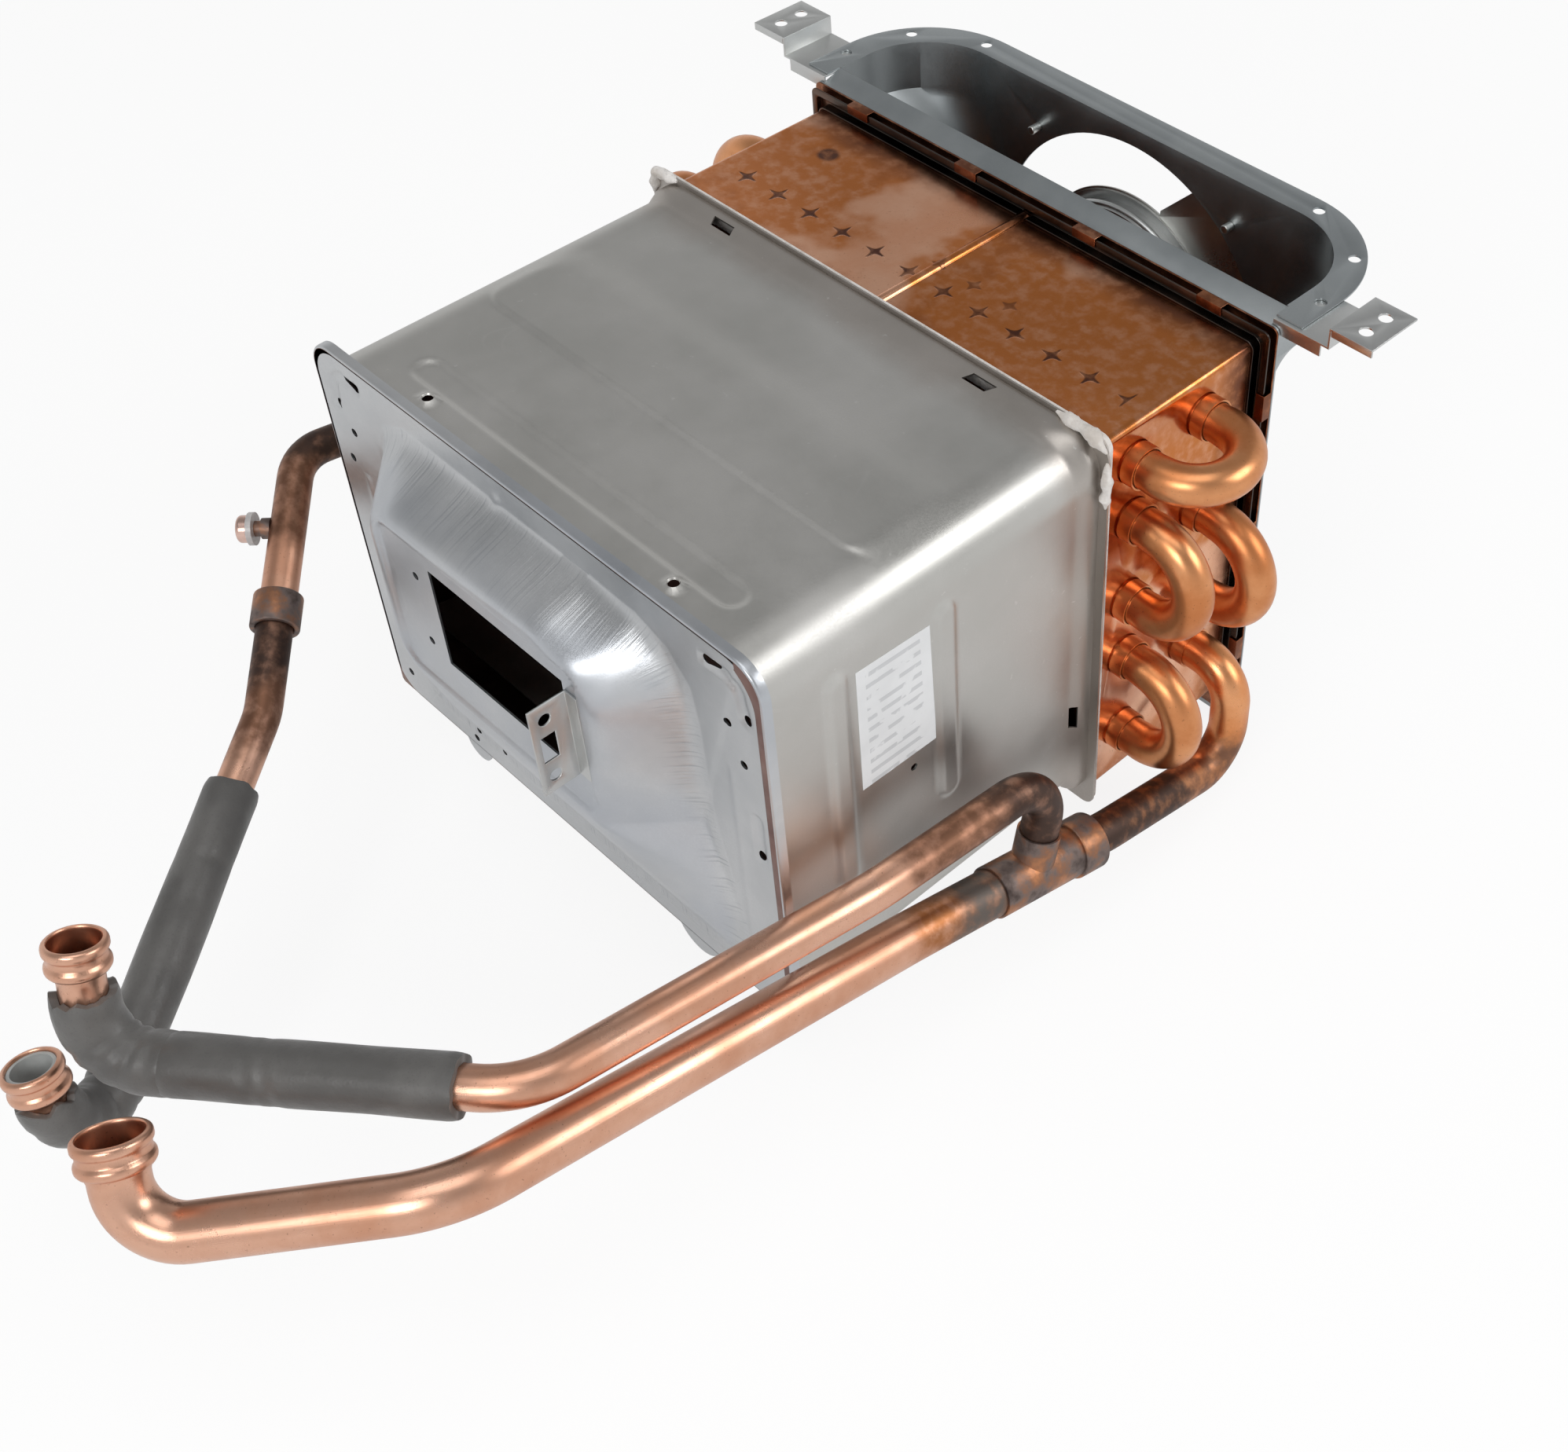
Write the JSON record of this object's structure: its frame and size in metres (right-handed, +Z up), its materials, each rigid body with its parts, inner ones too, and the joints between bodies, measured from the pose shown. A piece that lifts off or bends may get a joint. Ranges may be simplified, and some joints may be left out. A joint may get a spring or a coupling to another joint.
{
  "type": "water heater heat exchanger",
  "caption": "Steel burner chamber, copper finned block with water tubes and U-bends, flue hood with mounting brackets, and bent copper water pipes with formed ends and foam sleeves.",
  "frame": {"origin": "centre of the flue ring's bore, in the plane of the hood's far wall", "axes": "+Y from the burner cover to the flue ring, along the gas path; +Z up as the part lies, out of the hood's open rim; X across"},
  "size_m": [0.3403, 0.5489, 0.2219],
  "materials": {
    "galvanised_sheet": "satin zinc coating",
    "hood_sheet": "dull zinc coating",
    "screw_steel": "bright zinc",
    "bright_copper": "rolled copper sheet",
    "pipe_copper": "drawn copper tube",
    "burnt_copper": "copper darkened by brazing",
    "fin_copper": "thin copper fins",
    "dark_frame": "heat-darkened steel",
    "grey_foam": "closed-cell foam",
    "white_fibre": "ceramic fibre paper",
    "grey_liner": "grey plastic",
    "clear_ring": "translucent plastic"
  },
  "bodies": {
    "root": {"burner_cover": "galvanised_sheet", "cover_bracket": "galvanised_sheet", "combustion_chamber": "galvanised_sheet", "inner_baffle": "galvanised_sheet", "chamber_gasket": "white_fibre", "fin_body_shell": "bright_copper", "fin_pack": "fin_copper", "exchange_tubes": "pipe_copper", "seal_frame": "dark_frame", "flue_hood": "hood_sheet", "hood_bracket_left": "hood_sheet", "hood_bracket_right": "hood_sheet", "collar_plate": "galvanised_sheet", "flue_ring": "galvanised_sheet", "hood_screws": "screw_steel", "u_bend_right_top": "pipe_copper", "u_bend_right_mid_front": "pipe_copper", "u_bend_right_mid_rear": "pipe_copper", "u_bend_right_low": "pipe_copper", "u_bend_left_top": "pipe_copper", "u_bend_left_rear": "pipe_copper", "u_bend_left_mid": "pipe_copper", "u_bend_left_low": "pipe_copper", "outlet_tube": "pipe_copper", "socket_collar": "burnt_copper", "pipe_tee": "burnt_copper", "main_pipe": "pipe_copper", "branch_pipe": "pipe_copper", "side_pipe_upper": "burnt_copper", "brazed_collar": "burnt_copper", "side_pipe_lower": "pipe_copper", "pipe_liner": "grey_liner", "sensor_stub": "pipe_copper", "stub_cap": "pipe_copper", "cap_ring": "clear_ring", "branch_sleeve": "grey_foam", "branch_elbow_wrap": "grey_foam", "side_sleeve": "grey_foam", "side_elbow_wrap": "grey_foam"}
  },
  "joints": []
}
